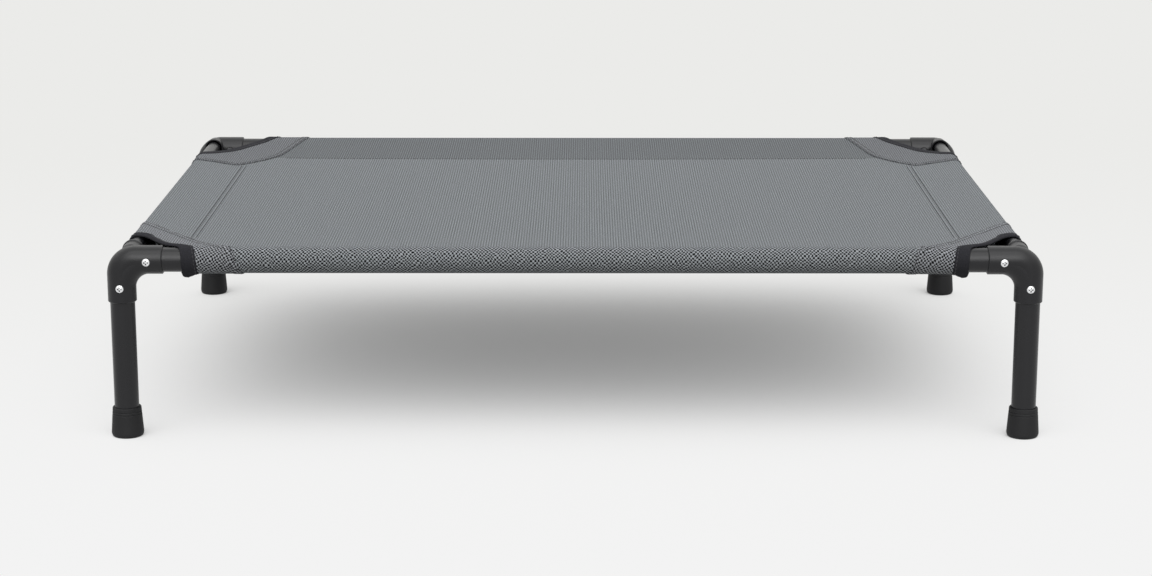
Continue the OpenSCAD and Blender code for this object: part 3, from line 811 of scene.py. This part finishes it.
class COT_OT_stitching(bpy.types.Operator):
    """Sews the rows of stitches along the seams"""

    bl_idname = "cot.stitching"
    bl_label = "Stitching"

    def execute(self, context):
        sling, corners, stitch = context.scene.cot_sling, context.scene.cot_corners, context.scene.cot_stitch
        # Heights of the rows over the middle of the mesh: on the cloth, in the side seams' grooves, on a
        # patch's hem and on a tape.
        top = sling.thickness / 2
        groove_top = top - 0.7 * MM
        hem_top = top + corners.patch_thickness + 0.15 * MM
        tape_top = 1.8 * MM
        tape_margin = 2 * MM
        steps = 160
        seams, tapes = [], []
        for side in (-1, 1):
            for inset in (sling.side_hem, sling.side_hem + stitch.row_gap):
                y = np.array([SIDE_SEAM_FRONT - LONG_Y, LONG_Y - SIDE_SEAM_REAR])
                seams.append((np.full(2, side * (SIDE_X - inset)), y, groove_top))
        across = np.array([-REAR_SEAM_HALF, REAR_SEAM_HALF])
        seams.append((across, np.full(2, LONG_Y - sling.rear_hem), top))
        for corner in CORNERS:
            seam = corner_path(PATCH_SEAM, corner, *PATCH_ROUND, steps)
            for inset in PATCH_ROWS:
                seams.append((*on_pattern(corner, seam - inset * inwards(seam)), hem_top))
            edge = corner_path(CUT_EDGE, corner, *PATCH_ROUND, steps)
            tape_row = edge + (tape_width(corner, edge)[:, None] - tape_margin) * inwards(edge)
            tapes.append((*on_pattern(corner, tape_row), tape_top))
        self.sew("stitching", seams, stitch, sewing_thread("grey", stitch.colour), "patch_cloth")
        self.sew("tape_stitching", tapes, stitch, sewing_thread("black", corners.tape), "binding_tape")
        return {"FINISHED"}

    def sew(self, name, rows, stitch, thread, slot):
        """All the stitches of some rows as one object."""
        vertices = np.concatenate([self.row(*row, stitch) for row in rows])
        count, rings, sides = vertices.shape[:3]
        start = np.arange(count)[:, None, None] * rings * sides
        tube = (grid_faces(rings, sides, closed=True)[None] + start).reshape(-1, 4)
        rim = np.arange(sides)
        ends = (np.array([rim[::-1], (rings - 1) * sides + rim])[None] + start).reshape(-1, sides)
        new_piece(name, vertices, [tube, ends], thread)

    @staticmethod
    def row(flat_x, flat_y, lift, stitch):
        """One row of stitches along a path of the flat pattern, each a tapered thread that rises in a half
        sine wave between its needle holes: stitch, ring along it, point round it."""
        run = run_along(flat_x, flat_y)
        starts = np.arange(0, run[-1] - stitch.pitch, stitch.pitch)
        part = np.linspace(0, 1, 5)
        at = starts[:, None] + part * stitch.length
        x, y = np.interp(at, run, flat_x), np.interp(at, run, flat_y)
        dx, dy = x[:, -1:] - x[:, :1], y[:, -1:] - y[:, :1]
        long = np.hypot(dx, dy)
        angle = np.linspace(0, 2 * math.pi, 7)[:-1]
        # Half as thick at its ends as in its middle, with the ends a quarter of the thread down in the cloth.
        radius = stitch.thread / 2 * np.sqrt(np.sin(math.pi * (0.08 + 0.84 * part)))[:, None]
        aside = radius * np.cos(angle)
        rise = stitch.thread * (0.45 * np.sin(math.pi * part) - 0.25)[:, None]
        height = lift + rise + radius * np.sin(angle)
        place_x = x[..., None] - (dy / long)[..., None] * aside
        place_y = y[..., None] + (dx / long)[..., None] * aside
        return drape(place_x, place_y, height)


class COT_OT_stage(bpy.types.Operator):
    """Sets the pale floor, the soft light and the camera"""

    bl_idname = "cot.stage"
    bl_label = "Stage"

    def execute(self, context):
        scene, stage = context.scene, context.scene.cot_stage
        scene.view_settings.view_transform = "Standard"
        self.lay_floor(stage)
        self.light(scene, stage)
        lens = bpy.data.cameras.new("camera")
        lens.sensor_width = 36
        lens.lens = stage.lens
        lens.clip_end = 200
        camera = bpy.data.objects.new("camera", lens)
        camera.location = (stage.camera_side, -stage.camera_back, stage.camera_up)
        pan = math.atan2(stage.camera_side, stage.camera_back)
        camera.rotation_euler = (math.pi / 2 - stage.camera_tilt, 0, pan)
        scene.collection.objects.link(camera)
        scene.camera = camera
        return {"FINISHED"}

    @staticmethod
    def lay_floor(stage):
        """Large level sheet at the feet. The camera sees its tone with the cot's shade on it, and the light
        that it throws back on the cot is that of a duller floor."""
        reach = np.array([-40, 40])
        x, y = np.meshgrid(reach, reach)
        mesh = bpy.data.meshes.new("floor")
        mesh.from_pydata(np.stack([x, y, 0 * x], axis=-1).reshape(-1, 3).tolist(), [], [(0, 1, 3, 2)])
        material = bpy.data.materials.new("matt paper sweep")
        material.use_nodes = True
        tree = material.node_tree
        tree.nodes.clear()
        seen = seen_by_eye(tree)
        # The tone goes from the near one to the far one, 0.9 m before the cot's middle to 1.5 m behind it.
        place = add(tree, "ShaderNodeTexCoord").outputs["Object"]
        depth = add(tree, "ShaderNodeSeparateXYZ", {0: place}).outputs["Y"]
        far = add(
            tree, "ShaderNodeMapRange", {"Value": depth, "From Min": -0.9, "From Max": 1.5},
            interpolation_type="SMOOTHSTEP",
        ).outputs[0]
        pale = add(
            tree, "ShaderNodeMix", {0: far, 6: opaque(stage.floor_near), 7: opaque(stage.floor)},
            data_type="RGBA",
        ).outputs[2]
        paper = add(
            tree, "ShaderNodeMix", {0: seen, 6: opaque(stage.floor_bounce), 7: pale}, data_type="RGBA"
        ).outputs[2]
        matt = add(tree, "ShaderNodeBsdfDiffuse", {"Color": paper}).outputs[0]
        plain = add(tree, "ShaderNodeEmission", {"Color": pale}).outputs[0]
        # The shade is lifted least under the cot and fades away where the floor lies open to the studio. The
        # openness is taken a little towards the front, where the key stands.
        front = add(tree, "ShaderNodeCombineXYZ", {"Y": -0.4, "Z": 0.917}).outputs[0]
        open_sky = add(
            tree, "ShaderNodeAmbientOcclusion", {"Distance": 0.6, "Normal": front}, samples=16
        ).outputs["AO"]
        lifted = add(
            tree, "ShaderNodeMapRange",
            {"Value": open_sky, "From Min": 0.12, "From Max": 0.96, "To Min": stage.shade_lift, "To Max": 1},
            interpolation_type="SMOOTHSTEP",
        ).outputs[0]
        lift = add(tree, "ShaderNodeMath", {0: seen, 1: lifted}, operation="MULTIPLY").outputs[0]
        both = add(tree, "ShaderNodeMixShader", {0: lift, 1: matt, 2: plain}).outputs[0]
        add(tree, "ShaderNodeOutputMaterial", {"Surface": both})
        mesh.materials.append(material)
        floor = bpy.data.objects.new("floor", mesh)
        bpy.context.scene.collection.objects.link(floor)

    @staticmethod
    def light(scene, stage):
        """Even fill from all round, a soft light from the front, a wider one straight over the cot, and a low
        card in front that shows in gloss alone."""
        scene.world = bpy.data.worlds.new("studio")
        scene.world.use_nodes = True
        tree = scene.world.node_tree
        tree.nodes.clear()
        seen = seen_by_eye(tree)
        fill = add(tree, "ShaderNodeBackground", {"Color": (1, 1, 1, 1), "Strength": stage.fill}).outputs[0]
        pale = add(tree, "ShaderNodeBackground", {"Color": opaque(stage.floor), "Strength": 1}).outputs[0]
        both = add(tree, "ShaderNodeMixShader", {0: seen, 1: fill, 2: pale}).outputs[0]
        add(tree, "ShaderNodeOutputWorld", {"Surface": both})
        lamps = (("soft_key", stage.key, stage.key_softness, stage.key_lean, True),
                 ("soft_sky", stage.sky, stage.sky_softness, 0, True),
                 ("front_card", stage.card, stage.card_softness, stage.card_lean, False))
        for name, strength, softness, lean, lights_cloth in lamps:
            lamp = bpy.data.lights.new(name, "SUN")
            lamp.energy = strength
            lamp.angle = softness
            light = bpy.data.objects.new(name, lamp)
            light.location = (0, 0, 3)
            light.rotation_euler = (lean, 0, 0)
            light.visible_camera = False
            light.visible_diffuse = lights_cloth
            scene.collection.objects.link(light)


class COT_PT_panel(bpy.types.Panel):
    """Lists the pieces of the cot in the order in which they are made"""

    bl_idname = "COT_PT_panel"
    bl_label = "Raised dog cot"
    bl_space_type = "VIEW_3D"
    bl_region_type = "UI"
    bl_category = "Cot"

    def draw(self, context):
        for operator in OPERATORS:
            self.layout.operator(operator.bl_idname)
        for name, group in SETTINGS.items():
            box = self.layout.box()
            for key in group.__annotations__:
                box.prop(getattr(context.scene, name), key)


SETTINGS = {
    "cot_frame": FrameSettings,
    "cot_sling": SlingSettings,
    "cot_corners": CornerSettings,
    "cot_stitch": StitchSettings,
    "cot_stage": StageSettings,
}
OPERATORS = (
    COT_OT_stage, COT_OT_tubes, COT_OT_elbows, COT_OT_feet, COT_OT_fasteners, COT_OT_sling, COT_OT_patches,
    COT_OT_binding, COT_OT_stitching,
)


def register():
    """Registers the classes and gives the scene its settings."""
    for cls in (*SETTINGS.values(), *OPERATORS, COT_PT_panel):
        bpy.utils.register_class(cls)
    for name, group in SETTINGS.items():
        setattr(bpy.types.Scene, name, bpy.props.PointerProperty(type=group))


def unregister():
    """Takes the settings and the classes away again."""
    for name in SETTINGS:
        delattr(bpy.types.Scene, name)
    for cls in (COT_PT_panel, *reversed(OPERATORS), *reversed(SETTINGS.values())):
        bpy.utils.unregister_class(cls)


def main():
    """Makes the stage and every piece."""
    register()
    bpy.ops.cot.stage()
    bpy.ops.cot.tubes()
    bpy.ops.cot.elbows()
    bpy.ops.cot.feet()
    bpy.ops.cot.fasteners()
    bpy.ops.cot.sling()
    bpy.ops.cot.patches()
    bpy.ops.cot.binding()
    bpy.ops.cot.stitching()


if __name__ == "__main__":
    main()
